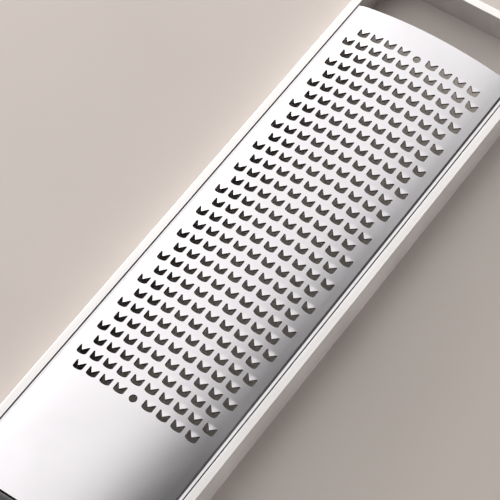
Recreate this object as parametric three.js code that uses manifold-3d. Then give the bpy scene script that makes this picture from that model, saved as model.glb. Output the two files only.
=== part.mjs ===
// Hand grater with a sliding cover. Sizes are in millimetres and +Z is up.
// +Y runs from the handle to the tip, and the frame stands on z = 0.
import * as THREE from 'three';
import { mergeVertices } from 'three/addons/utils/BufferGeometryUtils.js';
import Module from 'manifold-3d';

const wasm = await Module();
wasm.setup();

// Gaps between pieces
const contactGap = 0.3; // between pieces that touch or are welded
const slideGap = 0.35; // between the cover and what it slides on

// Frame: one flat bar bent into a closed loop
const barThickness = 2.1;
const barHeight = 8.2;
const footChamfer = 1; // along the outer foot, where the cover hooks in
const tipCornerRadius = 4;
const buttCornerRadius = 14;
const cornerSteps = 8;

// Toothed field: rows of teeth, each row set half a pitch from the next
const toothPitch = 4;
const rowPitch = 3.7;
const rowCount = 31; // first and last rows are short ones
const shortRowTeeth = 9;
const toothLand = 1.1; // steel left between two openings of a row
const hornLand = 0.41; // steel left past the opening's horns, towards the tip
const bellyLand = 1.01; // steel left past its rounded side, towards the handle
const bellyDepth = 0.4; // how far the rounded side bulges
const tongueReach = 0.1; // from the row line to the tooth's point
const toothRise = 0.3; // how far the tooth's point stands above the plate
const pilotDiameter = 2; // round hole in the middle of the first and last rows

// Plate: a thin arched sheet with a sloping step and a flat flange on each long side
const sheetThickness = 0.5;
const archRadius = 84;
const edgeRise = 0.3; // arch's edge above the frame's top edge
const flangeSink = 0.1; // flange below the frame's top edge
const fieldMargin = 1.74; // longest row of cells to the arch's edge
const tipMargin = 8.2; // last row to the plate's tip end
const plateLength = 152.5;
const stepWidth = 0.46;
const flangeWidth = 0.64;
const tipSlot = 15.2; // open slot between the plate and the tip bar

// Ledges under the plate's flanges
const ledgeWidth = 1.8;
const ledgeHeight = 3;
const ledgeSetback = 3; // from each end of the plate

// Cover: a clear channel that hooks under the foot chamfers
const coverWall = 1.6;
const coverMargin = 3.3; // past the teeth at each end
const crownClearance = 1.2; // between the teeth and the cover's roof
const coverSetback = 5; // parked front edge behind the plate
const coverFoot = 0.25; // cover above the table
const roofSteps = 20;
const thumbRibCount = 5;
const thumbRibPitch = 2.6;
const thumbRibWidth = 1.2;
const thumbRibRise = 0.6;
const thumbRibSpan = 24;
const thumbRibSetback = 7; // from the cover's front edge

// Handle core and its two soft inlays
const footClearance = 0.5; // handle core above the table
const inlayFoot = footClearance / 2; // bottom inlay above the table
const stopLength = 10; // raised end that stops the cover
const inlayWidth = 32;
const inlayDepth = 1.4;
const inlayRise = 0.4; // how far the top inlay stands out of the core
const inlayMargin = 10; // from the inlay to each end of the core's low part
const inlayCornerRadius = 6;
const inlaySteps = 12;
const coreFrontRadius = 1;

// Countersunk screws through the frame into the handle core
const screwShankDiameter = 3;
const screwHeadDiameter = 5;
const screwLength = 8;
const screwInset = 18; // from each end of the handle core
const screwHeadSink = 0.1; // screw head below the frame's face
const socketAcross = 2;
const socketDepth = 1.1;
const screwSides = 16;

// Sizes that follow from the ones above
const halfPitch = toothPitch / 2;
const toothWidth = toothPitch - toothLand;
const hornReach = rowPitch / 2 - hornLand; // from the row line to the horns
const bellyReach = rowPitch / 2 - bellyLand; // from the row line to the bulge
const shoulderReach = bellyReach - bellyDepth;
const flangeArc = (shortRowTeeth + 1) * halfPitch + fieldMargin;
const archEdgeX = archRadius * Math.sin(flangeArc / archRadius);
const flangeInner = archEdgeX + stepWidth;
const flangeOuter = flangeInner + flangeWidth;
const railInner = flangeOuter + contactGap;
const halfWidth = railInner + barThickness;
const fieldLength = (rowCount - 1) * rowPitch;
const toothedLength = fieldLength + hornReach + bellyReach;
const coverLength = toothedLength + 2 * coverMargin;
const coreLength = coverSetback - contactGap + coverLength + slideGap + stopLength;
const frameLength = 2 * barThickness + tipSlot + plateLength + coreLength + 2 * contactGap;
const tipY = frameLength / 2;
const buttY = -frameLength / 2;
const plateTipY = tipY - barThickness - tipSlot;
const plateHandleY = plateTipY - plateLength;
const lastRowY = plateTipY - tipMargin;
const edgeZ = barHeight + edgeRise;
const flangeZ = barHeight - flangeSink;
const archCentreZ = edgeZ - archRadius * Math.cos(flangeArc / archRadius);
const crownZ = archCentreZ + archRadius;
const coreFrontY = plateHandleY - contactGap;
const coreBackY = buttY + barThickness + contactGap;
const stopFrontY = coreBackY + stopLength;
const parkedFrontY = plateHandleY - coverSetback;
const roofRadius = archRadius + toothRise + crownClearance;
const coverOuter = halfWidth + slideGap + coverWall;
const aboveAll = 2 * crownZ; // higher than every piece

// Colours
const steel = { color: 0xd2d0ce, metalness: 0.9, roughness: 0.35 };
const resin = { color: 0x1c1c1d, metalness: 0, roughness: 0.5 };
const softInlay = { color: 0x2a2a2b, metalness: 0, roughness: 0.85 };
const clearResin = { color: 0xb9c4c8, metalness: 0, roughness: 0.12, transparent: true, opacity: 0.4 };

const grater = new THREE.Group();
grater.name = 'grater_with_cover';

function addPiece(name, geometry, look) {
  const piece = new THREE.Mesh(geometry, new THREE.MeshStandardMaterial(look));
  piece.name = name;
  grater.add(piece);
}

// Solids for cutting and joining

function toSolid(geometry) {
  const bare = new THREE.BufferGeometry();
  const source = geometry.index ? geometry.toNonIndexed() : geometry;
  bare.setAttribute('position', source.getAttribute('position').clone());
  const merged = mergeVertices(bare, 1e-4);
  const mesh = new wasm.Mesh({
    numProp: 3,
    vertProperties: new Float32Array(merged.getAttribute('position').array),
    triVerts: new Uint32Array(merged.index.array),
  });
  return new wasm.Manifold(mesh);
}

function toGeometry(solid) {
  const mesh = solid.getMesh();
  const geometry = new THREE.BufferGeometry();
  geometry.setAttribute('position', new THREE.BufferAttribute(new Float32Array(mesh.vertProperties), 3));
  geometry.setIndex(new THREE.BufferAttribute(new Uint32Array(mesh.triVerts), 1));
  geometry.computeVertexNormals();
  return geometry;
}

function meshOf(points, faces) {
  const geometry = new THREE.BufferGeometry();
  geometry.setAttribute('position', new THREE.Float32BufferAttribute(points.flat(), 3));
  geometry.setIndex(faces.flat());
  geometry.computeVertexNormals();
  return geometry;
}

// A section drawn in x and z, run along y from one end to the other
function runAlongY(section, fromY, toY) {
  const shape = new THREE.Shape(section.map(([x, z]) => new THREE.Vector2(x, z)));
  const geometry = new THREE.ExtrudeGeometry(shape, { depth: toY - fromY, bevelEnabled: false });
  geometry.rotateX(Math.PI / 2);
  geometry.translate(0, toY, 0);
  return geometry;
}

// A plan drawn in x and y, run upwards
function runUp(plan, fromZ, toZ) {
  const geometry = new THREE.ExtrudeGeometry(plan, { depth: toZ - fromZ, bevelEnabled: false });
  geometry.translate(0, 0, fromZ);
  return geometry;
}

// Height of an arch of the given radius about the plate's own centre line
function archZ(radius, x) {
  return archCentreZ + Math.sqrt(radius * radius - x * x);
}

function archPoints(radius, fromX, toX, steps) {
  const points = [];
  for (let i = 0; i <= steps; i += 1) {
    const x = fromX + ((toX - fromX) * i) / steps;
    points.push([x, archZ(radius, x)]);
  }
  return points;
}

// Rounded rectangle in plan, with one radius at each end
function roundedPlan(halfX, fromY, toY, lowRadius, highRadius) {
  const plan = new THREE.Shape();
  plan.absarc(halfX - lowRadius, fromY + lowRadius, lowRadius, -Math.PI / 2, 0, false);
  plan.absarc(halfX - highRadius, toY - highRadius, highRadius, 0, Math.PI / 2, false);
  plan.absarc(highRadius - halfX, toY - highRadius, highRadius, Math.PI / 2, Math.PI, false);
  plan.absarc(lowRadius - halfX, fromY + lowRadius, lowRadius, Math.PI, 1.5 * Math.PI, false);
  plan.closePath();
  return new THREE.Shape(plan.extractPoints(cornerSteps / 2).shape);
}

// Frame loop: the bar's section carried round a rounded rectangle

function loopStations() {
  const corners = [
    [halfWidth, buttY, buttCornerRadius, -Math.PI / 2],
    [halfWidth, tipY, tipCornerRadius, 0],
    [-halfWidth, tipY, tipCornerRadius, Math.PI / 2],
    [-halfWidth, buttY, buttCornerRadius, Math.PI],
  ];
  const stations = [];
  for (const [cornerX, cornerY, radius, startAngle] of corners) {
    const centreX = cornerX - Math.sign(cornerX) * radius;
    const centreY = cornerY - Math.sign(cornerY) * radius;
    for (let i = 0; i <= cornerSteps; i += 1) {
      const angle = startAngle + ((Math.PI / 2) * i) / cornerSteps;
      stations.push({ centreX, centreY, radius, outX: Math.cos(angle), outY: Math.sin(angle) });
    }
  }
  return stations;
}

function frameLoop() {
  const section = [
    [barThickness, 0],
    [footChamfer, 0],
    [0, footChamfer],
    [0, barHeight],
    [barThickness, barHeight],
  ]; // depth in from the outer face, and height
  const stations = loopStations();
  const points = [];
  for (const s of stations) {
    for (const [depth, z] of section) {
      const reach = s.radius - depth;
      points.push([s.centreX + s.outX * reach, s.centreY + s.outY * reach, z]);
    }
  }
  const size = section.length;
  const faces = [];
  for (let i = 0; i < stations.length; i += 1) {
    const here = i * size;
    const next = ((i + 1) % stations.length) * size;
    for (let j = 0; j < size; j += 1) {
      const k = (j + 1) % size;
      faces.push([here + j, next + j, next + k], [here + j, next + k, here + k]);
    }
  }
  return meshOf(points, faces);
}

// Grater plate: a flat pattern of cells, bent over the arch

// A point of the flat pattern, at a height above the sheet's top side
function bend(across, along, height) {
  const angle = across / archRadius;
  const reach = archRadius + height;
  return [reach * Math.sin(angle), along, archCentreZ + reach * Math.cos(angle)];
}

function toothOutline() {
  const half = toothWidth / 2;
  return [
    [-half, -shoulderReach, 0],
    [0, -bellyReach, 0],
    [half, -shoulderReach, 0],
    [half, hornReach, 0],
    [0, tongueReach, toothRise],
    [-half, hornReach, 0],
  ];
}

function pilotOutline() {
  const radius = pilotDiameter / 2;
  const outline = [];
  for (let i = 0; i < 6; i += 1) {
    const angle = ((7 + 2 * i) * Math.PI) / 6;
    outline.push([radius * Math.cos(angle), radius * Math.sin(angle), 0]);
  }
  return outline;
}

// Where the undersides of two strips meet, below a fold whose strips face two ways
function belowFold([x, z], first, second) {
  const share = sheetThickness / (1 + first[0] * second[0] + first[1] * second[1]);
  return [x - share * (first[0] + second[0]), z - share * (first[1] + second[1])];
}

// The long edge in section: the arch's edge, the step's foot and the flange's edge, with the points below
function longEdge() {
  const edgeAngle = flangeArc / archRadius;
  const stepDrop = edgeZ - flangeZ;
  const stepLength = Math.hypot(stepWidth, stepDrop);
  const archFaces = [Math.sin(edgeAngle), Math.cos(edgeAngle)];
  const stepFaces = [stepDrop / stepLength, stepWidth / stepLength];
  const flangeFaces = [0, 1];
  const archEdge = [archEdgeX, edgeZ];
  const stepFoot = [flangeInner, flangeZ];
  const flangeEdge = [flangeOuter, flangeZ];
  return [
    { top: archEdge, under: belowFold(archEdge, archFaces, stepFaces) },
    { top: stepFoot, under: belowFold(stepFoot, stepFaces, flangeFaces) },
    { top: flangeEdge, under: belowFold(flangeEdge, flangeFaces, flangeFaces) },
  ];
}

function graterPlate() {
  const points = [];
  const known = new Map();
  const topFaces = [];
  const rims = [];

  // Each spot of the pattern gets a top point and, right after it, an underside point.
  function spot(key, top, under) {
    if (!known.has(key)) {
      known.set(key, points.length);
      points.push(top, under);
    }
    return known.get(key);
  }

  // Columns lie half a pitch apart. The outermost ones are the points of the long edges.
  const sideColumn = shortRowTeeth + 2;
  const edgePoints = longEdge();
  function gridSpot(column, along) {
    const beyond = Math.abs(column) - sideColumn;
    if (beyond >= 0) {
      const side = Math.sign(column);
      const { top, under } = edgePoints[beyond];
      return spot(`e${column}|${along}`, [side * top[0], along, top[1]], [side * under[0], along, under[1]]);
    }
    const across = column * halfPitch;
    return spot(`g${column}|${along}`, bend(across, along, 0), bend(across, along, -sheetThickness));
  }

  function quad(column, low, high) {
    const a = gridSpot(column, low);
    const b = gridSpot(column + 1, low);
    const c = gridSpot(column + 1, high);
    const d = gridSpot(column, high);
    topFaces.push([a, b, c], [a, c, d]);
  }

  // One cell: six points round its edge, six round its opening.
  function cell(column, row, low, high, outline) {
    const rowY = lastRowY - row * rowPitch;
    const edge = [
      gridSpot(column - 1, low),
      gridSpot(column, low),
      gridSpot(column + 1, low),
      gridSpot(column + 1, high),
      gridSpot(column, high),
      gridSpot(column - 1, high),
    ];
    const hole = outline.map(([dx, dy, rise], i) => {
      const across = column * halfPitch + dx;
      const top = bend(across, rowY + dy, rise);
      const under = bend(across, rowY + dy, rise - sheetThickness);
      return spot(`h${column}|${row}|${i}`, top, under);
    });
    topFaces.push([edge[0], edge[1], hole[1]], [edge[0], hole[1], hole[0]]);
    topFaces.push([edge[1], edge[2], hole[1]], [edge[2], hole[2], hole[1]]);
    topFaces.push([edge[2], edge[3], hole[3]], [edge[2], hole[3], hole[2]]);
    topFaces.push([edge[3], edge[4], hole[3]], [edge[4], hole[4], hole[3]]);
    topFaces.push([edge[4], hole[5], hole[4]], [edge[4], edge[5], hole[5]]);
    topFaces.push([edge[5], edge[0], hole[5]], [edge[0], hole[0], hole[5]]);
    rims.push([...hole].reverse());
  }

  const lastColumn = sideColumn + edgePoints.length - 1;
  const lines = [plateTipY];
  for (let row = 0; row <= rowCount; row += 1) {
    lines.push(lastRowY + rowPitch / 2 - row * rowPitch);
  }
  lines.push(plateHandleY);

  for (let row = 0; row < rowCount; row += 1) {
    const high = lines[row + 1];
    const low = lines[row + 2];
    const teeth = row % 2 === 0 ? shortRowTeeth : shortRowTeeth + 1;
    const endRow = row === 0 || row === rowCount - 1;
    for (let i = 0; i < teeth; i += 1) {
      const column = 2 * i - (teeth - 1);
      const isPilot = endRow && column === 0;
      cell(column, row, low, high, isPilot ? pilotOutline() : toothOutline());
    }
    for (let column = teeth; column < lastColumn; column += 1) {
      quad(column, low, high);
      quad(-column - 1, low, high);
    }
  }
  for (let column = -lastColumn; column < lastColumn; column += 1) {
    quad(column, lines[1], lines[0]);
    quad(column, lines[rowCount + 2], lines[rowCount + 1]);
  }

  // The outline of the sheet, walked with the sheet on the left
  const outline = [];
  for (let column = -lastColumn; column < lastColumn; column += 1) {
    outline.push(gridSpot(column, plateHandleY));
  }
  for (let i = lines.length - 1; i > 0; i -= 1) {
    outline.push(gridSpot(lastColumn, lines[i]));
  }
  for (let column = lastColumn; column > -lastColumn; column -= 1) {
    outline.push(gridSpot(column, plateTipY));
  }
  for (let i = 0; i < lines.length - 1; i += 1) {
    outline.push(gridSpot(-lastColumn, lines[i]));
  }
  rims.push(outline);

  const faces = [];
  for (const [a, b, c] of topFaces) {
    faces.push([a, b, c], [a + 1, c + 1, b + 1]);
  }
  for (const rim of rims) {
    for (let i = 0; i < rim.length; i += 1) {
      const a = rim[i];
      const b = rim[(i + 1) % rim.length];
      faces.push([a, a + 1, b + 1], [a, b + 1, b]);
    }
  }
  return meshOf(points, faces);
}

// Ledge: a strip inside the frame that carries one flange

function ledge(side) {
  const outer = side * (railInner - contactGap);
  const inner = outer - side * ledgeWidth;
  const top = flangeZ - sheetThickness - contactGap;
  const geometry = new THREE.BoxGeometry(ledgeWidth, plateLength - 2 * ledgeSetback, ledgeHeight);
  geometry.translate((outer + inner) / 2, (plateTipY + plateHandleY) / 2, top - ledgeHeight / 2);
  return geometry;
}

// Screws: a countersunk head, a plain shank and a hexagon socket

const screwHeadHeight = (screwHeadDiameter - screwShankDiameter) / 2;
const screwSpots = [coreFrontY - screwInset, coreBackY + screwInset];
const screwZ = (barHeight + footChamfer) / 2; // middle of the frame's flat side

function lathePiece(profile) {
  return new THREE.LatheGeometry(profile.map(([r, y]) => new THREE.Vector2(r, y)), screwSides);
}

// Turns a piece made along +Y so that it points out of the frame's side.
function toFrameSide(geometry, side, y, outerX) {
  geometry.rotateZ(-side * (Math.PI / 2));
  geometry.translate(side * outerX, y, screwZ);
  return geometry;
}

function screw(side, y) {
  const body = lathePiece([
    [0, -screwLength],
    [screwShankDiameter / 2, -screwLength],
    [screwShankDiameter / 2, -screwHeadHeight],
    [screwHeadDiameter / 2, 0],
    [0, 0],
  ]);
  const socketRadius = socketAcross / Math.sqrt(3);
  const socket = new THREE.CylinderGeometry(socketRadius, socketRadius, 2 * socketDepth, 6);
  const cut = toSolid(body).subtract(toSolid(socket));
  return toFrameSide(toGeometry(cut), side, y, halfWidth - screwHeadSink);
}

// The room that a screw needs in the frame and in the handle core
function screwRoom(side, y) {
  const shank = screwShankDiameter / 2 + contactGap;
  const head = screwHeadDiameter / 2 + contactGap;
  const mouth = head + screwHeadSink + contactGap;
  const room = lathePiece([
    [0, -screwLength - contactGap],
    [shank, -screwLength - contactGap],
    [shank, -screwHeadHeight],
    [head, 0],
    [mouth, mouth - head],
    [0, mouth - head],
  ]);
  return toSolid(toFrameSide(room, side, y, halfWidth - screwHeadSink));
}

function cutScrewRooms(solid) {
  let left = solid;
  for (const side of [-1, 1]) {
    for (const y of screwSpots) {
      left = left.subtract(screwRoom(side, y));
    }
  }
  return left;
}

// Handle core: a block that fills the loop behind the plate

const coreHalf = railInner - contactGap;
const inlayFrontY = coreFrontY - inlayMargin;
const inlayBackY = stopFrontY + inlayMargin;

function inlayPlan(grow) {
  const radius = inlayCornerRadius + grow;
  return roundedPlan(inlayWidth / 2 + grow, inlayBackY - grow, inlayFrontY + grow, radius, radius);
}

// A band between two arches, as wide as asked, run along y
function archBand(lowRadius, highRadius, half, fromY, toY, steps) {
  const top = archPoints(highRadius, -half, half, steps);
  const under = archPoints(lowRadius, half, -half, steps);
  return toSolid(runAlongY([...under, ...top].reverse(), fromY, toY));
}

function blockSection(radius) {
  const top = archPoints(radius, coreHalf, -coreHalf, roofSteps);
  return [[-coreHalf, footClearance], [coreHalf, footClearance], ...top];
}

function handleCore() {
  const low = toSolid(runAlongY(blockSection(archRadius), coreBackY, coreFrontY));
  const stop = toSolid(runAlongY(blockSection(roofRadius + coverWall), coreBackY, stopFrontY));
  const innerButtRadius = buttCornerRadius - barThickness - contactGap;
  const plan = roundedPlan(coreHalf, coreBackY, coreFrontY, innerButtRadius, coreFrontRadius);
  const inLoop = toSolid(runUp(plan, 0, aboveAll));
  const pocketHalf = inlayWidth / 2 + inlayCornerRadius;
  const pocketBase = archRadius - inlayDepth - contactGap;
  const fromY = inlayBackY - inlayMargin;
  const toY = inlayFrontY + inlayMargin;
  const topBand = archBand(pocketBase, roofRadius, pocketHalf, fromY, toY, inlaySteps);
  const topPocket = topBand.intersect(toSolid(runUp(inlayPlan(contactGap), 0, aboveAll)));
  const lowPocket = toSolid(runUp(inlayPlan(contactGap), 0, footClearance + inlayDepth + contactGap));
  const block = low.add(stop).intersect(inLoop).subtract(topPocket).subtract(lowPocket);
  return toGeometry(cutScrewRooms(block));
}

function topInlay() {
  const half = inlayWidth / 2 + inlayCornerRadius;
  const underRadius = archRadius - inlayDepth;
  const topRadius = archRadius + inlayRise;
  const band = archBand(underRadius, topRadius, half, inlayBackY, inlayFrontY, inlaySteps);
  return toGeometry(band.intersect(toSolid(runUp(inlayPlan(0), 0, aboveAll))));
}

function lowInlay() {
  return runUp(inlayPlan(0), inlayFoot, footClearance + inlayDepth);
}

// Cover: a roof over the teeth, two skirts beside the frame and a hook along each foot

function coverShell() {
  const backY = parkedFrontY - coverLength;
  const rideX = railInner + slideGap;
  const rideZ = barHeight + slideGap;
  const skirtInner = halfWidth + slideGap;
  const slopeShift = slideGap * Math.SQRT2;
  const hookTopZ = footChamfer + slideGap - slopeShift;
  const hookTipX = skirtInner - (hookTopZ - coverFoot);
  const outerRadius = roofRadius + coverWall;
  const shoulderX = coverOuter - coverWall;
  const rightInner = [
    [hookTipX, coverFoot],
    [skirtInner, hookTopZ],
    [skirtInner, rideZ],
    [rideX, rideZ],
  ];
  const rightOuter = [
    [coverOuter, coverFoot],
    [coverOuter, archZ(outerRadius, shoulderX) - coverWall],
  ];
  const mirror = (list) => list.map(([x, z]) => [-x, z]).reverse();
  const section = [
    ...rightOuter,
    ...archPoints(outerRadius, shoulderX, -shoulderX, roofSteps),
    ...mirror(rightOuter),
    ...mirror(rightInner).reverse(),
    ...archPoints(roofRadius, -rideX, rideX, roofSteps),
    ...[...rightInner].reverse(),
  ];
  let shell = toSolid(runAlongY(section, backY, parkedFrontY));
  for (let i = 0; i < thumbRibCount; i += 1) {
    const ribFrontY = parkedFrontY - thumbRibSetback - i * thumbRibPitch;
    const ribBase = outerRadius - coverWall / 2;
    const half = thumbRibSpan / 2;
    const ribTop = outerRadius + thumbRibRise;
    shell = shell.add(archBand(ribBase, ribTop, half, ribFrontY - thumbRibWidth, ribFrontY, inlaySteps));
  }
  return toGeometry(shell);
}

// The finished pieces

addPiece('frame_loop', toGeometry(cutScrewRooms(toSolid(frameLoop()))), steel);
addPiece('grater_plate', graterPlate(), steel);
addPiece('ledge_left', ledge(-1), steel);
addPiece('ledge_right', ledge(1), steel);
addPiece('handle_core', handleCore(), resin);
addPiece('grip_inlay_top', topInlay(), softInlay);
addPiece('grip_inlay_bottom', lowInlay(), softInlay);
addPiece('screw_left_front', screw(-1, screwSpots[0]), steel);
addPiece('screw_left_back', screw(-1, screwSpots[1]), steel);
addPiece('screw_right_front', screw(1, screwSpots[0]), steel);
addPiece('screw_right_back', screw(1, screwSpots[1]), steel);
addPiece('cover_shell', coverShell(), clearResin);

export default grater;
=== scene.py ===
# %% [markdown]
# # A hand grater with a sliding cover
# The grater is a long closed loop of flat steel bar. An arched plate full of small teeth sits in its
# front half, a dark handle fills its back half, and a clear cover runs along the bar. The solids of the
# part come first: they fix every place and size, and what is modelled here is laid exactly over them.

# %% Load the solids
import math

import bmesh
import bpy
from mathutils import Matrix, Vector


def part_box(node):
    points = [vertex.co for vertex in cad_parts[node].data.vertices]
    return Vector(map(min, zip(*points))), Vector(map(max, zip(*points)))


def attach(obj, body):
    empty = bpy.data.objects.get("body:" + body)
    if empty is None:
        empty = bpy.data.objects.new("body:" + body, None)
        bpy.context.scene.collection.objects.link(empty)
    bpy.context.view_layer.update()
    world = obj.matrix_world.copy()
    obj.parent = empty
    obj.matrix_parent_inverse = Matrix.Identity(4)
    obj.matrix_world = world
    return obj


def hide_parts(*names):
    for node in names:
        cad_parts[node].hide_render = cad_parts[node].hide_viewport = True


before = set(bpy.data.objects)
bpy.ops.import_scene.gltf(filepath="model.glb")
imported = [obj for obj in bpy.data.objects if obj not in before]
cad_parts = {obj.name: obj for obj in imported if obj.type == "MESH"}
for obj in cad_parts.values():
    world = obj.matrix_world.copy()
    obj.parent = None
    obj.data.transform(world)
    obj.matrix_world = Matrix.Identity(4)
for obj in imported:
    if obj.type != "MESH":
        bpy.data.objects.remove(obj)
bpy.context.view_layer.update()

print("solids:", sorted(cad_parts))

# %% [markdown]
# ## Sizes
# Blender works in metres here, and a maker thinks in millimetres, so one factor turns one into the
# other. Where the solids already know a size, their boxes are read instead of typing it a second time.

# %% Sizes that several pieces share
mm = 0.001
tiny = 0.01 * mm
bar_thickness = 2.1 * mm
bar_height = 8.2 * mm
arch_radius = 84 * mm
contact_gap = 0.3 * mm
slide_gap = 0.35 * mm

frame_low, frame_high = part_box("frame_loop")
plate_low, plate_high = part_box("grater_plate")
core_low, core_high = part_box("handle_core")
cover_low, cover_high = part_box("cover_shell")
half_width = frame_high.x
rail_inner = half_width - bar_thickness


def in_mm(lengths):
    """Lengths as rounded millimetres, for printing."""
    return [round(length / mm, 2) for length in lengths]


print("frame", in_mm(frame_high - frame_low), "mm")

# %% [markdown]
# ## Camera
# A picture is compared with another only from the same spot, so the camera is placed before anything is
# modelled. The rows of teeth are a ready-made ruler: their known spacing tells where the photographer
# stood. A long lens keeps the far rows nearly as large as the near ones.

# %% Camera
focal_length = 146.84
sensor_width = 36
camera_place = (0.168296, -0.117577, 0.406322)
camera_right = Vector((0.8018, 0.5930, -0.0742)).normalized()
camera_back = Vector((0.3641, -0.3862, 0.8475)).normalized()
camera_up = camera_back.cross(camera_right).normalized()

camera_data = bpy.data.cameras.new("camera")
camera_data.lens = focal_length
camera_data.sensor_width = sensor_width
camera = bpy.data.objects.new("camera", camera_data)
bpy.context.scene.collection.objects.link(camera)
turn = Matrix((camera_right, camera_up, camera_back)).transposed()
camera.matrix_world = Matrix.Translation(camera_place) @ turn.to_4x4()
bpy.context.scene.camera = camera
print("camera stands", round(camera.location.z, 3), "m above the table")

# %% [markdown]
# ## Floor and light
# Ground steel shows its surroundings more than itself, so the light matters as much as the model. One
# wide soft panel stands behind the grater on the left: the left half of the arch mirrors it and goes
# white, and the right half turns away from it into grey. A long low panel on the same side brightens
# the table on the left and leaves the grater's own shadow on the right. A second low one, in front on
# the right, lights the outer face of the near rail, and a weak front panel keeps the handle from going
# black.

# %% Floor
floor_width = 12
bpy.ops.object.select_all(action="DESELECT")
bpy.ops.mesh.primitive_plane_add(size=floor_width, location=(0, 0, -tiny))
floor = bpy.context.active_object
floor.name = "floor"
print("floor", floor.dimensions.x, "m wide")

# %% Lights
plate_middle = Vector((0, 0.06, 0.01))
window_white = (1.0, 0.985, 0.97)
lamp_white = (1.0, 0.98, 0.97)
room_white = (1.0, 0.97, 0.95, 1)
room_strength = 0.065


def soft_panel(name, place, width, height, watts, colour):
    """A wide lamp panel that faces the middle of the plate."""
    lamp = bpy.data.lights.new(name, "AREA")
    lamp.shape = "RECTANGLE"
    lamp.size = width
    lamp.size_y = height
    lamp.energy = watts
    lamp.color = colour
    panel = bpy.data.objects.new(name, lamp)
    bpy.context.scene.collection.objects.link(panel)
    panel.location = place
    panel.rotation_euler = (plate_middle - Vector(place)).to_track_quat("-Z", "Y").to_euler()
    panel.visible_camera = False


soft_panel("window_panel", (-0.39, 0.30, 0.396), width=1.8, height=0.98, watts=8.1, colour=window_white)
soft_panel("low_panel", (-1.44, 0.74, 0.27), width=2.8, height=0.40, watts=34, colour=window_white)
soft_panel("fill_panel", (1.48, -0.88, 0.114), width=2.4, height=0.20, watts=19, colour=lamp_white)
soft_panel("front_panel", (0.45, -0.50, 0.50), width=1.0, height=0.6, watts=0.4, colour=lamp_white)
room = bpy.data.worlds.new("room")
room.use_nodes = True
background = room.node_tree.nodes["Background"]
background.inputs["Color"].default_value = room_white
background.inputs["Strength"].default_value = room_strength
bpy.context.scene.world = room
bpy.context.scene.view_settings.view_transform = "Standard"
print("lights:", [lamp.name for lamp in bpy.data.lights])

# %% [markdown]
# ## Working by hand in code
# In the window you would click a piece, press Tab, click its faces and pull them. In a script four small
# helpers do that: one leaves a single piece selected, one opens it in edit mode, one picks corners,
# edges or faces by where they are, and one pulls them. Everything is deselected first, because an
# operator acts on all that is selected.


# %% Helpers for picking and pulling
def only(piece):
    """Leave one piece selected and active, in object mode."""
    if bpy.context.mode != "OBJECT":
        bpy.ops.object.mode_set(mode="OBJECT")
    bpy.ops.object.select_all(action="DESELECT")
    piece.select_set(True)
    bpy.context.view_layer.objects.active = piece
    return piece


def begin(name):
    """Name the primitive that was just added, and open it in edit mode."""
    piece = bpy.context.active_object
    piece.name = name
    piece.data.name = name
    only(piece)
    bpy.ops.object.transform_apply(location=True, rotation=True, scale=True)
    bpy.ops.object.mode_set(mode="EDIT")
    return piece


def pick(kind, test, rim=False):
    """In edit mode, select what has its middle at a wanted place. With rim, only what borders a hole."""
    bpy.ops.mesh.select_mode(type=kind)
    bpy.ops.mesh.select_all(action="DESELECT")
    shape = bmesh.from_edit_mesh(bpy.context.edit_object.data)
    for item in {"VERT": shape.verts, "EDGE": shape.edges, "FACE": shape.faces}[kind]:
        corners = [item] if kind == "VERT" else list(item.verts)
        middle = sum((corner.co for corner in corners), Vector()) / len(corners)
        if test(middle) and (not rim or item.is_boundary):
            item.select_set(True)
    bmesh.update_edit_mesh(bpy.context.edit_object.data)


def pull(x=0.0, y=0.0, z=0.0):
    """Extrude what is selected and move the new part."""
    bpy.ops.mesh.extrude_region_move(TRANSFORM_OT_translate={"value": (x, y, z)})


print("helpers:", [helper.__name__ for helper in (only, begin, pick, pull)])

# %% [markdown]
# ## Grater plate: one tooth
# Each opening is punched as a crescent: a belly towards the handle, two horns towards the tip, and
# between the horns a V-shaped tongue whose point is bent up. About three hundred of them share one
# shape, so only one cell of the sheet is modelled, with few faces. It starts as a plane, cut into six
# by six, and the middle is taken out. Six by six is chosen because half a pitch is then three steps,
# and cells of neighbouring rows meet corner to corner.

# %% A cell of the sheet
tooth_pitch = 4 * mm
row_pitch = 3.7 * mm
cell_steps = 6


def plain_cell(name, width, steps):
    """A flat piece of sheet, as long as one row, cut into a grid."""
    bpy.ops.object.select_all(action="DESELECT")
    bpy.ops.mesh.primitive_grid_add(x_subdivisions=steps, y_subdivisions=cell_steps, size=1)
    cell = begin(name)
    bpy.ops.transform.resize(value=(width, row_pitch, 1))
    return cell


def open_cell(name, outline):
    """A cell with a hole, whose ring of corners moves to half an outline and its mirror image."""
    cell = plain_cell(name, tooth_pitch, cell_steps)
    pick("FACE", lambda at: abs(at.x) < tooth_pitch / 3 and abs(at.y) < row_pitch / 3)
    bpy.ops.mesh.delete(type="FACE")
    for (column, row), (x, y) in outline.items():
        for side in (1, -1) if column else (1,):
            start = Vector((side * column * tooth_pitch / cell_steps, row * row_pitch / cell_steps, 0))
            pick("VERT", lambda at: (at - start).length < tiny)
            bpy.ops.transform.translate(value=Vector((side * x, y, 0)) - start)
    return cell


side_strip = only(plain_cell("side_strip_cell", tooth_pitch / 2, cell_steps // 2))
print("half a cell:", in_mm(side_strip.dimensions), "mm")

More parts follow.
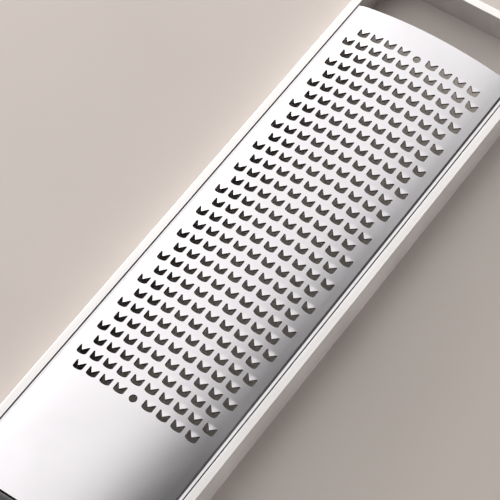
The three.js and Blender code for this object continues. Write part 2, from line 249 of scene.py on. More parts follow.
# %% One tooth
side_reach = 1.45 * mm
horn_reach = 1.44 * mm
tongue_half = 1.16 * mm
tongue_point = 0.1 * mm
tooth_rise = 0.3 * mm
crescent = {
    (0, 2): (0, horn_reach),
    (1, 2): (tongue_half, horn_reach),
    (2, 2): (side_reach, 0.93 * horn_reach),
    (2, 1): (side_reach, 0.55 * mm),
    (2, 0): (side_reach, 0.05 * mm),
    (2, -1): (0.97 * side_reach, -0.42 * mm),
    (2, -2): (0.76 * side_reach, -0.66 * mm),
    (1, -2): (0.40 * side_reach, -0.80 * mm),
    (0, -2): (0, -0.84 * mm),
}
tooth = open_cell("tooth_cell", crescent)
pick("EDGE", lambda at: abs(at.x) < tongue_half and abs(at.y - horn_reach) < tiny)
pull(y=tongue_point - horn_reach, z=tooth_rise)
bpy.ops.mesh.merge(type="CENTER")
only(tooth)
print("one tooth has", len(tooth.data.polygons), "faces")

# %% The round hole in the middle of the first and last rows
pilot_radius = 1 * mm
pilot_step = math.radians(180) / (len(crescent) - 1)
circle = {}
for place, spot in enumerate(crescent):
    angle = math.radians(90) - place * pilot_step
    circle[spot] = (pilot_radius * math.cos(angle), pilot_radius * math.sin(angle))
pilot = only(open_cell("pilot_cell", circle))
print("round hole", 2 * pilot_radius / mm, "mm across")

# %% [markdown]
# ## Grater plate: the whole field
# Rows of nine and ten teeth alternate. Array modifiers copy the cell along a row and then from row to
# row, the groups are joined, and corners that fall on each other are merged into one sheet. Drawing the
# sheet first and cutting three hundred holes with a Boolean would work too, but it leaves long thin
# faces that shade badly.

# %% Where the rows are
row_count = 31
long_row = 10
short_row = long_row - 1
beside_hole = short_row // 2
long_rows = row_count // 2
short_rows = row_count - long_rows
tip_margin = 8.2 * mm
last_row_y = plate_high.y - tip_margin
first_row_y = last_row_y - (row_count - 1) * row_pitch
second_row_y = first_row_y + row_pitch
third_row_y = second_row_y + row_pitch
field_half = long_row * tooth_pitch / 2
long_row_x = (1 - long_row) * tooth_pitch / 2
short_row_x = (1 - short_row) * tooth_pitch / 2
strip_x = field_half - tooth_pitch / 4
print("rows from", *in_mm((first_row_y, last_row_y)), "mm")


# %% Copy the cells into rows
def apply(piece, kind, **settings):
    """Add a modifier with its settings and apply it at once."""
    only(piece)
    modifier = piece.modifiers.new(kind.lower(), kind)
    for name, value in settings.items():
        setattr(modifier, name, value)
    bpy.ops.object.modifier_apply(modifier=modifier.name)


def spread(cell, name, start, across, along):
    """Copy a cell, put it at its start, and array it across the rows and along the field."""
    group = cell.copy()
    group.data = cell.data.copy()
    group.name = name
    bpy.context.scene.collection.objects.link(group)
    group.location = start
    only(group)
    bpy.ops.object.transform_apply(location=True, rotation=False, scale=False)
    for count, step in (across, along):
        apply(
            group,
            "ARRAY",
            count=count,
            use_relative_offset=False,
            use_constant_offset=True,
            constant_offset_displace=step,
        )
    return group


next_tooth = (tooth_pitch, 0, 0)
other_side = (2 * strip_x, 0, 0)
next_pair = (0, 2 * row_pitch, 0)
other_end = (0, (row_count - 1) * row_pitch, 0)
long_start = (long_row_x, second_row_y, 0)
short_start = (short_row_x, third_row_y, 0)
left_start = (short_row_x, first_row_y, 0)
right_start = (tooth_pitch, first_row_y, 0)
groups = [
    spread(tooth, "long_rows", long_start, (long_row, next_tooth), (long_rows, next_pair)),
    spread(tooth, "short_rows", short_start, (short_row, next_tooth), (short_rows - 2, next_pair)),
    spread(tooth, "end_rows_left", left_start, (beside_hole, next_tooth), (2, other_end)),
    spread(tooth, "end_rows_right", right_start, (beside_hole, next_tooth), (2, other_end)),
    spread(pilot, "pilot_holes", (0, first_row_y, 0), (1, next_tooth), (2, other_end)),
    spread(side_strip, "row_ends", (-strip_x, first_row_y, 0), (2, other_side), (short_rows, next_pair)),
]
for cell in (tooth, pilot, side_strip):
    bpy.data.objects.remove(cell)
print("groups:", {group.name: len(group.data.polygons) for group in groups})

# %% Join the groups
bpy.ops.object.select_all(action="DESELECT")
for group in groups:
    group.select_set(True)
bpy.context.view_layer.objects.active = groups[0]
bpy.ops.object.join()
plate = bpy.context.active_object
plate.name = plate.data.name = "toothed_sheet"
print("toothed field:", len(plate.data.polygons), "faces")

# %% [markdown]
# ## Grater plate: margins, arch and edges
# The plain margins are pulled out of the field's border. The flat sheet is then rolled to an arch: the
# Simple Deform modifier bends along x about its z axis, so the sheet is stood upright, bent, and laid
# down again. Its angle is the arc's length divided by the radius. Last, each long edge steps down to a
# narrow flat flange, and Solidify gives the sheet its half millimetre.

# %% Margins
side_margin = 1.74 * mm
edge_arc = field_half + side_margin
field_low_y = first_row_y - row_pitch / 2
field_high_y = last_row_y + row_pitch / 2
only(plate)
bpy.ops.object.mode_set(mode="EDIT")
bpy.ops.mesh.select_all(action="SELECT")
bpy.ops.mesh.remove_doubles(threshold=tiny)
pick("EDGE", lambda at: at.y > field_high_y - tiny, rim=True)
pull(y=plate_high.y - field_high_y)
pick("EDGE", lambda at: at.y < field_low_y + tiny, rim=True)
pull(y=plate_low.y - field_low_y)
for side in (1, -1):
    pick("EDGE", lambda at: side * at.x > field_half - tiny, rim=True)
    pull(x=side * side_margin)
only(plate)
print("flat sheet", in_mm(plate.dimensions), "mm")

# %% Roll the arch
edge_rise = 0.3 * mm
edge_z = bar_height + edge_rise
crown_z = edge_z + arch_radius * (1 - math.cos(edge_arc / arch_radius))


def roll(sheet, radius, middle_z):
    """Bend a flat sheet about the long axis, with its middle line at a height."""
    arc = max(abs(corner.co.x) for corner in sheet.data.vertices)
    only(sheet)
    sheet.rotation_euler.x = math.radians(90)
    bpy.ops.object.transform_apply(location=False, rotation=True, scale=False)
    apply(sheet, "SIMPLE_DEFORM", deform_method="BEND", deform_axis="Z", angle=2 * arc / radius)
    sheet.rotation_euler.x = math.radians(-90)
    sheet.location.z = middle_z
    bpy.ops.object.transform_apply(location=True, rotation=True, scale=False)


roll(plate, arch_radius, crown_z)
arch_edge_x = max(corner.co.x for corner in plate.data.vertices)
print("crown and fold at", in_mm((crown_z, arch_edge_x)), "mm")

# %% Steps, flanges and thickness
sheet_thickness = 0.5 * mm
step_width = 0.46 * mm
flange_sink = 0.1 * mm
plate_sharp = 14
only(plate)
bpy.ops.object.mode_set(mode="EDIT")
for side in (1, -1):
    pick("EDGE", lambda at: side * at.x > arch_edge_x - tiny, rim=True)
    pull(x=side * step_width, z=-flange_sink - edge_rise)
    pull(x=side * (plate_high.x - arch_edge_x - step_width))
apply(plate, "SOLIDIFY", thickness=sheet_thickness, offset=-1)
bpy.ops.object.shade_smooth_by_angle(angle=math.radians(plate_sharp))
print("plate:", len(plate.data.polygons), "faces", in_mm(plate.dimensions), "mm")

# %% [markdown]
# ## Frame
# The frame is one flat bar on edge, bent into a loop with tight corners at the tip and wide ones at the
# butt. It could be a curve with a bevelled section, but the chamfer along its outer foot is easier from
# a plane: round its corners, inset it downwards for the chamfer, inset it again for the foot, take the
# middle out, and pull both rims up to the top edge, where a bridge closes them.

# %% Rounded plans
tip_radius = 4 * mm
butt_radius = 14 * mm
front_steps = 10
back_steps = 16


def rounded_plan(name, half, back, front, back_radius, front_radius, z):
    """A flat face with rounded corners, left open in edit mode."""
    middle_y = (back + front) / 2
    bpy.ops.object.select_all(action="DESELECT")
    bpy.ops.mesh.primitive_plane_add(size=1, location=(0, middle_y, z))
    bpy.context.active_object.scale = (2 * half, front - back, 1)
    piece = begin(name)
    pick("VERT", lambda at: at.y > middle_y)
    bpy.ops.mesh.bevel(offset=front_radius, segments=front_steps, affect="VERTICES", offset_type="OFFSET")
    pick("VERT", lambda at: at.y < back + tiny)
    bpy.ops.mesh.bevel(offset=back_radius, segments=back_steps, affect="VERTICES", offset_type="OFFSET")
    return piece


def close_edit(piece):
    """Merge doubles, turn every face outwards and go back to object mode. Only for closed shapes."""
    bpy.ops.mesh.select_all(action="SELECT")
    bpy.ops.mesh.remove_doubles(threshold=tiny / 10)
    bpy.ops.mesh.normals_make_consistent(inside=False)
    return only(piece)


print("tip and butt radius", in_mm((tip_radius, butt_radius)), "mm")

# %% The bar
foot_chamfer = 1 * mm
bar = rounded_plan("frame_bar", half_width, frame_low.y, frame_high.y, butt_radius, tip_radius, foot_chamfer)
bpy.ops.mesh.select_all(action="SELECT")
bpy.ops.mesh.inset(thickness=foot_chamfer, depth=-foot_chamfer)
bpy.ops.mesh.inset(thickness=bar_thickness - foot_chamfer, depth=0)
bpy.ops.mesh.delete(type="FACE")
pick("EDGE", lambda at: at.z > foot_chamfer - tiny, rim=True)
pull(z=bar_height - foot_chamfer)
pick("EDGE", lambda at: at.z < tiny, rim=True)
pull(z=bar_height)
pick("EDGE", lambda at: at.z > bar_height - tiny, rim=True)
bpy.ops.mesh.bridge_edge_loops()
close_edit(bar)
print("bar:", len(bar.data.polygons), "faces", in_mm(bar.dimensions), "mm")

# %% [markdown]
# ## Screws and their countersinks
# Four small countersunk screws hold the handle in the loop. One is modelled: a disc is pulled down to a
# cone and on to a shank, and a six-sided bar cuts its socket. A slightly larger copy of the same form
# is the cutter for the countersinks. Each screw is a copy with its own mesh, turned so that its head
# faces out of the bar. Real edges are never quite sharp, so they are rounded a little, and a piece that
# is still to be cut is shaded after the last cut.


# %% Helpers for cutting and rounding
def cut(piece, cutter, how="DIFFERENCE"):
    """Cut one piece with another and throw the cutter away."""
    apply(piece, "BOOLEAN", object=cutter, operation=how, solver="EXACT")
    bpy.data.objects.remove(cutter)
    return piece


def round_edges(piece, width, steps=2, sharp=30):
    """Round the edges sharper than an angle. Corners that nearly touch are welded before and after."""
    apply(piece, "WELD", merge_threshold=width / 5)
    apply(
        piece,
        "BEVEL",
        width=width,
        segments=steps,
        limit_method="ANGLE",
        angle_limit=math.radians(sharp),
        use_clamp_overlap=False,
        loop_slide=False,
    )
    apply(piece, "WELD", merge_threshold=tiny / 5)


def shade(piece, sharp=30):
    """Shade smooth below an angle, and let large faces stay flat next to small rounded edges."""
    only(piece)
    bpy.ops.object.shade_smooth_by_angle(angle=math.radians(sharp))
    apply(piece, "WEIGHTED_NORMAL", keep_sharp=True)


def soften(piece, width, sharp=30):
    """Round the edges, then shade."""
    round_edges(piece, width, sharp=sharp)
    shade(piece, sharp)


print("helpers:", [helper.__name__ for helper in (cut, round_edges, shade, soften)])

# %% One screw and one cutter
shank_radius = 1.5 * mm
head_radius = 2.5 * mm
head_height = head_radius - shank_radius
head_sink = 0.1 * mm
screw_length = 8 * mm
screw_sides = 48
screw_sharp = 25
screw_rounding = 0.08 * mm
socket_across = 2 * mm
socket_depth = 1.1 * mm


def countersunk(name, grow, lift):
    """A cone head on a shank, head up, with its face at z = lift."""
    rim_radius = head_radius + grow + lift
    narrow = (shank_radius + grow) / rim_radius
    bpy.ops.object.select_all(action="DESELECT")
    bpy.ops.mesh.primitive_circle_add(
        vertices=screw_sides, radius=rim_radius, fill_type="NGON", location=(0, 0, lift)
    )
    piece = begin(name)
    bpy.ops.mesh.select_all(action="SELECT")
    pull(z=-head_height - lift)
    bpy.ops.transform.resize(value=(narrow, narrow, 1))
    pull(z=-(screw_length - head_height + grow))
    return close_edit(piece)


screw = countersunk("screw", 0, 0)
bpy.ops.object.select_all(action="DESELECT")
bpy.ops.mesh.primitive_cylinder_add(vertices=6, radius=socket_across / math.sqrt(3), depth=2 * socket_depth)
cut(screw, bpy.context.active_object)
soften(screw, screw_rounding, screw_sharp)
room_cutter = countersunk("screw_room", contact_gap, contact_gap + head_sink)
print("screw:", len(screw.data.polygons), "faces")

# %% Place the screws and cut their rooms
screw_inset = 18 * mm
screw_z = (bar_height + foot_chamfer) / 2
bar_rounding = 0.15 * mm
rails = {"left": -1, "right": 1}
ends = {"front": core_high.y - screw_inset, "back": core_low.y + screw_inset}
places = [(rail, end) for rail in rails for end in ends]


def at_rail(piece, name, rail, end):
    """A copy of a screw-like piece with its head facing out of one rail."""
    twin = piece.copy()
    twin.data = piece.data.copy()
    twin.name = twin.data.name = name
    bpy.context.scene.collection.objects.link(twin)
    only(twin)
    twin.rotation_euler = (0, rails[rail] * math.radians(90), 0)
    twin.location = (rails[rail] * (half_width - head_sink), ends[end], screw_z)
    bpy.ops.object.transform_apply(location=True, rotation=True, scale=False)
    return twin


round_edges(bar, bar_rounding)
screws = {}
for rail, end in places:
    screws[f"screw_{rail}_{end}"] = at_rail(screw, f"countersunk_screw_{rail}_{end}", rail, end)
    cut(bar, at_rail(room_cutter, "room", rail, end))
shade(bar)
bpy.data.objects.remove(screw)
print("frame bar with countersinks:", len(bar.data.polygons), "faces")

# %% [markdown]
# ## Handle core
# The dark core is a moulded block that carries on the arch of the plate and ends in a raised stop for
# the cover. Its section is drawn as you would by hand: one corner is pulled along the outline, and Spin
# swings it over the arch. The filled outline is pulled along the handle, and Booleans round its plan
# and sink the two pockets for the soft inlays. The block and the stop start longer than needed and are
# trimmed together, because a Boolean copes badly with faces that lie in one plane.

# %% Draw a section
arch_centre_z = crown_z - arch_radius
arch_steps = 40


def arch_z(radius, x):
    """Height of an arch about the common centre line."""
    return arch_centre_z + math.sqrt(radius * radius - x * x)


def start_line(name, x, y, z):
    """One single corner, ready to be pulled into an outline."""
    bpy.ops.object.select_all(action="DESELECT")
    bpy.ops.mesh.primitive_plane_add(size=mm, location=(x, y, z))
    piece = begin(name)
    bpy.ops.mesh.select_mode(type="VERT")
    bpy.ops.mesh.select_all(action="SELECT")
    bpy.ops.mesh.merge(type="CENTER")
    return piece


def line_to(here, x, z):
    """Pull the end of the outline to a new spot."""
    pull(x=x - here[0], z=z - here[1])
    return (x, z)


def arch_to(here, x, y, steps=arch_steps):
    """Swing the end of the outline over the arch to the other side."""
    radius = math.hypot(here[0], here[1] - arch_centre_z)
    angle = math.asin(here[0] / radius) - math.asin(x / radius)
    bpy.ops.mesh.spin(steps=steps, angle=angle, center=(0, y, arch_centre_z), axis=(0, 1, 0))
    return (x, arch_z(radius, x))


print("arch centre", *in_mm([arch_centre_z]), "mm high")


# %% Pull a section to a block
def fill_and_pull(piece, length):
    """Close the outline to a face and pull it along y."""
    bpy.ops.mesh.select_all(action="SELECT")
    bpy.ops.mesh.remove_doubles(threshold=tiny)
    bpy.ops.mesh.edge_face_add()
    pull(y=length)
    return close_edit(piece)


def arched_block(name, half, foot, radius, back, front, steps=arch_steps):
    """A block with a flat foot and an arched top."""
    block = start_line(name, -half, back, foot)
    here = line_to((-half, foot), -half, arch_z(radius, half))
    here = arch_to(here, half, back, steps)
    line_to(here, half, foot)
    return fill_and_pull(block, front - back)


tooth_clearance = 1.2 * mm
roof_radius = arch_radius + tooth_rise + tooth_clearance
cover_wall = 1.6 * mm
outer_radius = roof_radius + cover_wall
stop_length = 10 * mm
stop_front_y = core_low.y + stop_length
spare = 1 * mm
spare_back = core_low.y - spare
core = arched_block("handle_block", core_high.x, core_low.z, arch_radius, spare_back, core_high.y)
stop = arched_block("stop", core_high.x, spare, outer_radius, spare_back - spare, stop_front_y)
cut(core, stop, "UNION")
print("block:", len(core.data.polygons), "faces", in_mm(core.dimensions), "mm")

# %% Round the plan
high_z = 30 * mm
core_corner = 1 * mm
core_rounding = 0.5 * mm
core_sharp = 35
inner_butt = butt_radius - bar_thickness - contact_gap


def prism(name, half, back, front, back_radius, front_radius, low, high):
    """A rounded plan pulled up to a block."""
    piece = rounded_plan(name, half, back, front, back_radius, front_radius, low)
    bpy.ops.mesh.select_all(action="SELECT")
    pull(z=high - low)
    return close_edit(piece)


plan = prism("plan", core_high.x, core_low.y, core_high.y, inner_butt, core_corner, -high_z, high_z)
cut(core, plan, "INTERSECT")
round_edges(core, core_rounding, steps=3, sharp=core_sharp)
print("rounded block:", len(core.data.polygons), "faces", in_mm(core.dimensions), "mm")

# %% Sink the pockets
inlay_half = 16 * mm
inlay_margin = 10 * mm
inlay_depth = 1.4 * mm
inlay_corner = 6 * mm
inlay_front = core_high.y - inlay_margin
inlay_back = stop_front_y + inlay_margin
pocket_depth = inlay_depth + contact_gap


def inlay_room(grow, low, high):
    """The space of one inlay, a little larger where asked."""
    half = inlay_half + grow
    corner = inlay_corner + grow
    return prism("inlay_room", half, inlay_back - grow, inlay_front + grow, corner, corner, low, high)


pocket_radius = arch_radius - pocket_depth
below = arched_block("below_pocket", half_width, -high_z, pocket_radius, core_low.y, core_high.y)
cut(core, cut(inlay_room(contact_gap, 0, high_z), below))
cut(core, inlay_room(contact_gap, -high_z, core_low.z + pocket_depth))
for rail, end in places:
    cut(core, at_rail(room_cutter, "room", rail, end))
bpy.data.objects.remove(room_cutter)
shade(core, core_sharp)
print("handle core:", len(core.data.polygons), "faces")

# %% [markdown]
# ## Grip inlays
# Soft inlays keep a wet hand from slipping. The upper one carries cross ribs: a flat grid is laid out,
# every other strip is pulled up, the grid is given a thickness and rolled to the arch in the same way
# as the plate. A rounded plan then trims its ends. The lower one is the grater's hind foot, so it is a
# plain flat pad.

# %% A ribbed sheet
rib_pitch = 5 * mm
rib_width = rib_pitch / 2
rib_half = 12.5 * mm
rib_rise = 0.35 * mm
sheet_columns = 32


def ribbed_sheet(name, thickness):
    """A flat slab with raised cross ribs, as long as an inlay."""
    length = inlay_front - inlay_back
    middle = (inlay_front + inlay_back) / 2
    bpy.ops.object.select_all(action="DESELECT")
    bpy.ops.mesh.primitive_grid_add(
        x_subdivisions=sheet_columns, y_subdivisions=1, size=1, location=(0, middle, 0)
    )
    bpy.context.active_object.scale = (2 * (inlay_half + spare), length, 1)
    sheet = begin(name)
    count = int((length - 2 * inlay_corner) // rib_pitch)
    first = middle - (count - 1) * rib_pitch / 2
    for place in range(count):
        for edge in (-1, 1):
            line_y = first + place * rib_pitch + edge * rib_width / 2
            bpy.ops.mesh.select_all(action="SELECT")
            bpy.ops.mesh.bisect(plane_co=(0, line_y, 0), plane_no=(0, 1, 0))

    def on_rib(at):
        along = (at.y - first + rib_pitch / 2) % rib_pitch - rib_pitch / 2
        inside = first - rib_pitch / 2 < at.y < first + (count - 0.5) * rib_pitch
        return inside and abs(along) < rib_width / 2 and abs(at.x) < rib_half

    pick("FACE", on_rib)
    pull(z=rib_rise)
    apply(sheet, "SOLIDIFY", thickness=thickness, offset=-1)
    return sheet


inlay_rise = 0.4 * mm
slab_rise = inlay_rise - rib_rise
top_inlay = ribbed_sheet("ribbed_inlay_top", inlay_depth + slab_rise)
print("ribbed sheet:", len(top_inlay.data.polygons), "faces")

# %% Roll and trim
inlay_rounding = 0.12 * mm
inlay_sharp = 35
roll(top_inlay, arch_radius + slab_rise, crown_z + slab_rise)
cut(top_inlay, inlay_room(0, 0, high_z), "INTERSECT")
soften(top_inlay, inlay_rounding, inlay_sharp)
print("top inlay:", in_mm(top_inlay.dimensions), "mm")

# %% The lower inlay
pad_foot_z = 0.25 * mm
low_inlay = inlay_room(0, pad_foot_z, core_low.z + inlay_depth)
low_inlay.name = low_inlay.data.name = "plain_inlay_bottom"
soften(low_inlay, inlay_rounding, inlay_sharp)
print("bottom inlay:", in_mm(low_inlay.dimensions), "mm")

# %% [markdown]
# ## Cover
# The clear cover is a moulded channel: a roof that clears the teeth, a shoulder that rides on the bar's
# top edge, two skirts, and hooks that reach under the chamfered foot so that it can only slide. Its
# section never changes along its length, so the outline is walked once around, outside and inside,
# filled and pulled. Thumb ribs are added at the front.

# %% Draw the cover's section
ride_x = rail_inner + slide_gap
ride_z = bar_height + slide_gap
skirt_inner = half_width + slide_gap
cover_foot = cover_low.z
hook_top_z = foot_chamfer + slide_gap - slide_gap * math.sqrt(2)
hook_tip_x = skirt_inner - (hook_top_z - cover_foot)
shoulder_x = cover_high.x - cover_wall
shoulder_z = arch_z(outer_radius, shoulder_x)

cover = start_line("clear_channel", cover_high.x, cover_low.y, cover_foot)
here = (cover_high.x, cover_foot)
here = line_to(here, cover_high.x, shoulder_z - cover_wall)
here = line_to(here, shoulder_x, shoulder_z)
here = arch_to(here, -shoulder_x, cover_low.y)
here = line_to(here, -cover_high.x, shoulder_z - cover_wall)
here = line_to(here, -cover_high.x, cover_foot)
here = line_to(here, -hook_tip_x, cover_foot)
here = line_to(here, -skirt_inner, hook_top_z)
here = line_to(here, -skirt_inner, ride_z)
here = line_to(here, -ride_x, ride_z)
here = line_to(here, -ride_x, arch_z(roof_radius, ride_x))
here = arch_to(here, ride_x, cover_low.y)
here = line_to(here, ride_x, ride_z)
here = line_to(here, skirt_inner, ride_z)
here = line_to(here, skirt_inner, hook_top_z)
line_to(here, hook_tip_x, cover_foot)
fill_and_pull(cover, cover_high.y - cover_low.y)
print("channel:", len(cover.data.polygons), "faces", in_mm(cover.dimensions), "mm")

# %% Thumb ribs and soft edges
thumb_count = 5
thumb_inset = 7 * mm
thumb_pitch = 2.6 * mm
thumb_width = 1.2 * mm
thumb_rise = 0.6 * mm
thumb_half = 12 * mm
thumb_radius = outer_radius + thumb_rise
thumb_steps = 16
wall_middle = outer_radius - cover_wall / 2
cover_rounding = 0.25 * mm
for place in range(thumb_count):
    front = cover_high.y - thumb_inset - place * thumb_pitch
    back = front - thumb_width
    rib = arched_block("thumb_rib", thumb_half, crown_z, thumb_radius, back, front, thumb_steps)
    under = arched_block("rib_under", half_width, 0, wall_middle, cover_low.y, cover_high.y)
    cut(cover, cut(rib, under), "UNION")
soften(cover, cover_rounding)
print("cover:", len(cover.data.polygons), "faces", in_mm(cover.dimensions), "mm")

# %% [markdown]
# ## Finishes: three shared effects
# Real surfaces are never one flat value. Two effects come back in every finish here: a fine grain,
# stretched along the direction the surface was ground or moulded in, and large soft marks from
# handling. A third one finds edges, where hands and drawers rub a surface lighter and smoother: it
# compares the surface's own direction with that of a softly rounded copy. Each is a node group, built
# once and given its own values wherever it is used.


# %% Fine grain
def new_group(name, inputs):
    """An empty shader group with number inputs and one Mask output."""
    group = bpy.data.node_groups.new(name, "ShaderNodeTree")
    for label, value in inputs.items():
        socket = group.interface.new_socket(label, in_out="INPUT", socket_type="NodeSocketFloat")
        socket.default_value = value
    group.interface.new_socket("Mask", in_out="OUTPUT", socket_type="NodeSocketFloat")
    nodes = group.nodes
    return group, nodes.new("NodeGroupInput"), nodes.new("NodeGroupOutput")


grain_group, given, result = new_group("fine_grain", {"Across": 900.0, "Along": 60.0})
spots = grain_group.nodes.new("ShaderNodeTexCoord")
scales = grain_group.nodes.new("ShaderNodeCombineXYZ")
stretch = grain_group.nodes.new("ShaderNodeVectorMath")
stretch.operation = "MULTIPLY"
noise = grain_group.nodes.new("ShaderNodeTexNoise")
noise.inputs["Scale"].default_value = 1.0
noise.inputs["Detail"].default_value = 3.0
link = grain_group.links.new
link(given.outputs["Across"], scales.inputs["X"])
link(given.outputs["Along"], scales.inputs["Y"])
link(given.outputs["Across"], scales.inputs["Z"])
link(spots.outputs["Object"], stretch.inputs[0])
link(scales.outputs["Vector"], stretch.inputs[1])
link(stretch.outputs["Vector"], noise.inputs["Vector"])
link(noise.outputs["Fac"], result.inputs["Mask"])
print(grain_group.name, "has", len(grain_group.nodes), "nodes")

# %% Soft marks
marks_group, given, result = new_group("soft_marks", {"Scale": 40.0, "From": 0.35, "To": 0.7})
spots = marks_group.nodes.new("ShaderNodeTexCoord")
noise = marks_group.nodes.new("ShaderNodeTexNoise")
noise.inputs["Detail"].default_value = 4.0
noise.inputs["Distortion"].default_value = 0.6
spread_out = marks_group.nodes.new("ShaderNodeMapRange")
link = marks_group.links.new
link(spots.outputs["Object"], noise.inputs["Vector"])
link(given.outputs["Scale"], noise.inputs["Scale"])
link(noise.outputs["Fac"], spread_out.inputs["Value"])
link(given.outputs["From"], spread_out.inputs["From Min"])
link(given.outputs["To"], spread_out.inputs["From Max"])
link(spread_out.outputs["Result"], result.inputs["Mask"])
print(marks_group.name, "has", len(marks_group.nodes), "nodes")

# %% Edge wear
no_wear_match = 0.9995
full_wear_match = 0.95
least_wear = 0.35
wear_group, given, result = new_group("edge_wear", {"Width": 0.5 * mm, "Unevenness": 1.0})
surface = wear_group.nodes.new("ShaderNodeNewGeometry")
rounded = wear_group.nodes.new("ShaderNodeBevel")
rounded.samples = 8
same_way = wear_group.nodes.new("ShaderNodeVectorMath")
same_way.operation = "DOT_PRODUCT"
edge = wear_group.nodes.new("ShaderNodeMapRange")
edge.inputs["From Min"].default_value = no_wear_match
edge.inputs["From Max"].default_value = full_wear_match
uneven = wear_group.nodes.new("ShaderNodeMapRange")
uneven.inputs["To Min"].default_value = least_wear
rubbed = wear_group.nodes.new("ShaderNodeMath")
rubbed.operation = "MULTIPLY"
link = wear_group.links.new
link(given.outputs["Width"], rounded.inputs["Radius"])
link(surface.outputs["Normal"], same_way.inputs[0])
link(rounded.outputs["Normal"], same_way.inputs[1])
link(same_way.outputs["Value"], edge.inputs["Value"])
link(given.outputs["Unevenness"], uneven.inputs["Value"])
link(edge.outputs["Result"], rubbed.inputs[0])
link(uneven.outputs["Result"], rubbed.inputs[1])
link(rubbed.outputs["Value"], result.inputs["Mask"])
print(wear_group.name, "has", len(wear_group.nodes), "nodes")

# %% [markdown]
# ## Finishes: building one material
# Every finish uses the same few nodes: soft marks mix two close colours, grain moves the roughness
# between two values, and a Bump node lets the grain catch the light. Where hands reach, the edges turn
# lighter and smoother. What stays the same all over, such as metalness, is set straight on the shader.

# %% A finish from grain and marks
grain_share = 0.6
marks_share = 0.4
grain_depth = 0.05 * mm


def finish(name, colours, roughness, grain, bump, marks, **fixed):
    """A material whose colour follows soft marks, and whose roughness and relief follow a grain."""
    material = bpy.data.materials.new(name)
    material.use_nodes = True
    nodes = material.node_tree.nodes
    link = material.node_tree.links.new
    shader = nodes["Principled BSDF"]
    for label, value in fixed.items():
        shader.inputs[label.replace("_", " ")].default_value = value
    fine = nodes.new("ShaderNodeGroup")
    fine.node_tree = grain_group
    fine.inputs["Across"].default_value, fine.inputs["Along"].default_value = grain
    handled = nodes.new("ShaderNodeGroup")
    handled.name = "handled"
    handled.node_tree = marks_group
    handled.inputs["Scale"].default_value = marks
    colour = nodes.new("ShaderNodeMix")
    colour.data_type = "RGBA"
    colour.inputs["A"].default_value = (*colours[0], 1)
    colour.inputs["B"].default_value = (*colours[1], 1)
    link(handled.outputs["Mask"], colour.inputs["Factor"])
    link(colour.outputs["Result"], shader.inputs["Base Color"])
    eased = nodes.new("ShaderNodeMath")
    eased.operation = "MULTIPLY"
    eased.inputs[1].default_value = marks_share
    link(handled.outputs["Mask"], eased.inputs[0])
    both = nodes.new("ShaderNodeMath")
    both.operation = "MULTIPLY_ADD"
    both.inputs[1].default_value = grain_share
    link(fine.outputs["Mask"], both.inputs[0])
    link(eased.outputs["Value"], both.inputs[2])
    sheen = nodes.new("ShaderNodeMapRange")
    sheen.inputs["To Min"].default_value, sheen.inputs["To Max"].default_value = roughness
    link(both.outputs["Value"], sheen.inputs["Value"])
    link(sheen.outputs["Result"], shader.inputs["Roughness"])
    relief = nodes.new("ShaderNodeBump")
    relief.inputs["Strength"].default_value = bump
    relief.inputs["Distance"].default_value = grain_depth
    link(fine.outputs["Mask"], relief.inputs["Height"])
    link(relief.outputs["Normal"], shader.inputs["Normal"])
    return material


print("roughness follows the grain by", grain_share, "and the marks by", marks_share)


# %% Worn edges
def wear_edges(material, width, light, polish):
    """Mix a lighter colour into a finish along its edges, and make them smoother."""
    nodes = material.node_tree.nodes
    link = material.node_tree.links.new
    shader = nodes["Principled BSDF"]
    worn = nodes.new("ShaderNodeGroup")
    worn.node_tree = wear_group
    worn.inputs["Width"].default_value = width
    link(nodes["handled"].outputs["Mask"], worn.inputs["Unevenness"])
    colour = nodes.new("ShaderNodeMix")
    colour.data_type = "RGBA"
    colour.inputs["B"].default_value = (*light, 1)
    link(worn.outputs["Mask"], colour.inputs["Factor"])
    link(shader.inputs["Base Color"].links[0].from_socket, colour.inputs["A"])
    link(colour.outputs["Result"], shader.inputs["Base Color"])
    sheen = nodes.new("ShaderNodeMath")
    sheen.operation = "MULTIPLY_ADD"
    sheen.inputs[1].default_value = -polish
    link(worn.outputs["Mask"], sheen.inputs[0])
    link(shader.inputs["Roughness"].links[0].from_socket, sheen.inputs[2])
    link(sheen.outputs["Value"], shader.inputs["Roughness"])
    print(material.name, "is worn", *in_mm([width]), "mm in from its edges")


# %% [markdown]
# ## Finishes: steel, plastic and floor
# The plate is ground bright along its length, so its grain is long and its roughness low. The bar is
# only satin. The underside of the plate takes a very dark steel, which is painted shade. The handle is a
# moulded resin with a fine even texture, and its inlays are a duller rubber. The cover is clear plastic,
# which bends light a little less than glass does. Photos could be wrapped around the pieces instead, but
# values in nodes can be changed one at a time and stay sharp from close by.

# %% Steel
ground_plate = finish(
    "ground_plate",
    colours=((0.585, 0.575, 0.598), (0.635, 0.624, 0.649)),
    roughness=(0.27, 0.37),
    grain=(1500, 120),
    bump=0.06,
    marks=30.0,
    Metallic=1.0,
)
# Very dark steel: painted shade for the plate's underside and the cut walls of its openings.
painted_shade_steel = finish(
    "painted_shade_steel",
    colours=((0.145, 0.14, 0.138), (0.195, 0.19, 0.188)),
    roughness=(0.50, 0.65),
    grain=(900, 900),
    bump=0.10,
    marks=60.0,
    Metallic=1.0,
)
satin_bar = finish(
    "satin_bar",
    colours=((0.76, 0.745, 0.74), (0.83, 0.815, 0.81)),
    roughness=(0.56, 0.68),
    grain=(1800, 90),
    bump=0.12,
    marks=45.0,
    Metallic=1.0,
)
wear_edges(satin_bar, width=0.5 * mm, light=(0.95, 0.94, 0.935), polish=0.20)

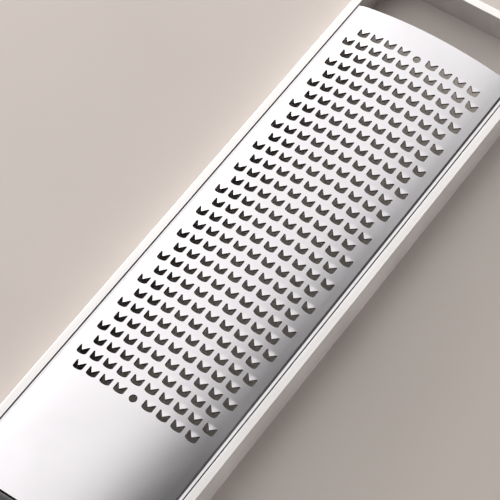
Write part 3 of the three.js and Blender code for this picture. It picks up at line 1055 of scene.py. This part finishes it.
# %% Resin, rubber, clear plastic and floor
moulded_resin = finish(
    "moulded_resin",
    colours=((0.016, 0.016, 0.017), (0.028, 0.028, 0.029)),
    roughness=(0.42, 0.60),
    grain=(2600, 2600),
    bump=0.5,
    marks=60.0,
)
soft_rubber = finish(
    "soft_rubber",
    colours=((0.030, 0.030, 0.031), (0.045, 0.045, 0.046)),
    roughness=(0.70, 0.88),
    grain=(3200, 3200),
    bump=0.6,
    marks=80.0,
)
clear_plastic = finish(
    "clear_plastic",
    colours=((0.90, 0.93, 0.94), (0.97, 0.98, 0.98)),
    roughness=(0.02, 0.10),
    grain=(700, 90),
    bump=0.03,
    marks=55.0,
    Transmission_Weight=1.0,
    IOR=1.49,
)
matt_floor = finish(
    "matt_floor",
    colours=((0.63, 0.565, 0.525), (0.69, 0.625, 0.58)),
    roughness=(0.55, 0.75),
    grain=(300, 300),
    bump=0.05,
    marks=6.0,
)
wear_edges(moulded_resin, width=1.5 * mm, light=(0.14, 0.138, 0.136), polish=0.12)
wear_edges(soft_rubber, width=0.7 * mm, light=(0.15, 0.148, 0.146), polish=0.18)

# %% [markdown]
# ## Dress the part
# Each piece gets its finish, rides on the body that it moves with, and stands in for its solid. The
# ledges under the plate's flanges are plain strips, so their solids stay and only take the better
# steel.

# %% Pieces and bodies
dressed = []


def dress(piece, material, body, node):
    """Give a piece its finish and its place in the part."""
    piece.data.materials.clear()
    piece.data.materials.append(material)
    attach(piece, body)
    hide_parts(node)
    dressed.append(piece.name)


dress(plate, ground_plate, "grater", "grater_plate")
dress(bar, satin_bar, "grater", "frame_loop")
dress(core, moulded_resin, "grater", "handle_core")
dress(top_inlay, soft_rubber, "grater", "grip_inlay_top")
dress(low_inlay, soft_rubber, "grater", "grip_inlay_bottom")
for node, piece in screws.items():
    dress(piece, satin_bar, "grater", node)
dress(cover, clear_plastic, "cover", "cover_shell")
for node in ("ledge_left", "ledge_right"):
    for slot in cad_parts[node].material_slots:
        slot.material = satin_bar
floor.data.materials.append(matt_floor)
print("dressed:", dressed)

# %% [markdown]
# ## Painted shade below the plate
# The top of the plate is ground bright. Its underside and the cut walls of the openings take a very dark
# steel: painted shade, which makes the openings look as dark as the shadow below the sheet. These faces
# are picked by the way they point, and take a second material of the same piece.

# %% Underside and cut walls
# Faces that point less upward than this take the very dark steel, as painted shade.
painted_shade_normal_z = 0.35
plate.data.materials.append(painted_shade_steel)
plate.active_material_index = len(plate.data.materials) - 1
only(plate)
bpy.ops.object.mode_set(mode="EDIT")
bpy.ops.mesh.select_mode(type="FACE")
bpy.ops.mesh.select_all(action="DESELECT")
sheet = bmesh.from_edit_mesh(plate.data)
for face in sheet.faces:
    face.select_set(face.normal.z < painted_shade_normal_z)
painted_shade_face_count = sum(1 for face in sheet.faces if face.select)
bpy.ops.object.material_slot_assign()
only(plate)
print("painted shade faces:", painted_shade_face_count, "of", len(plate.data.polygons))
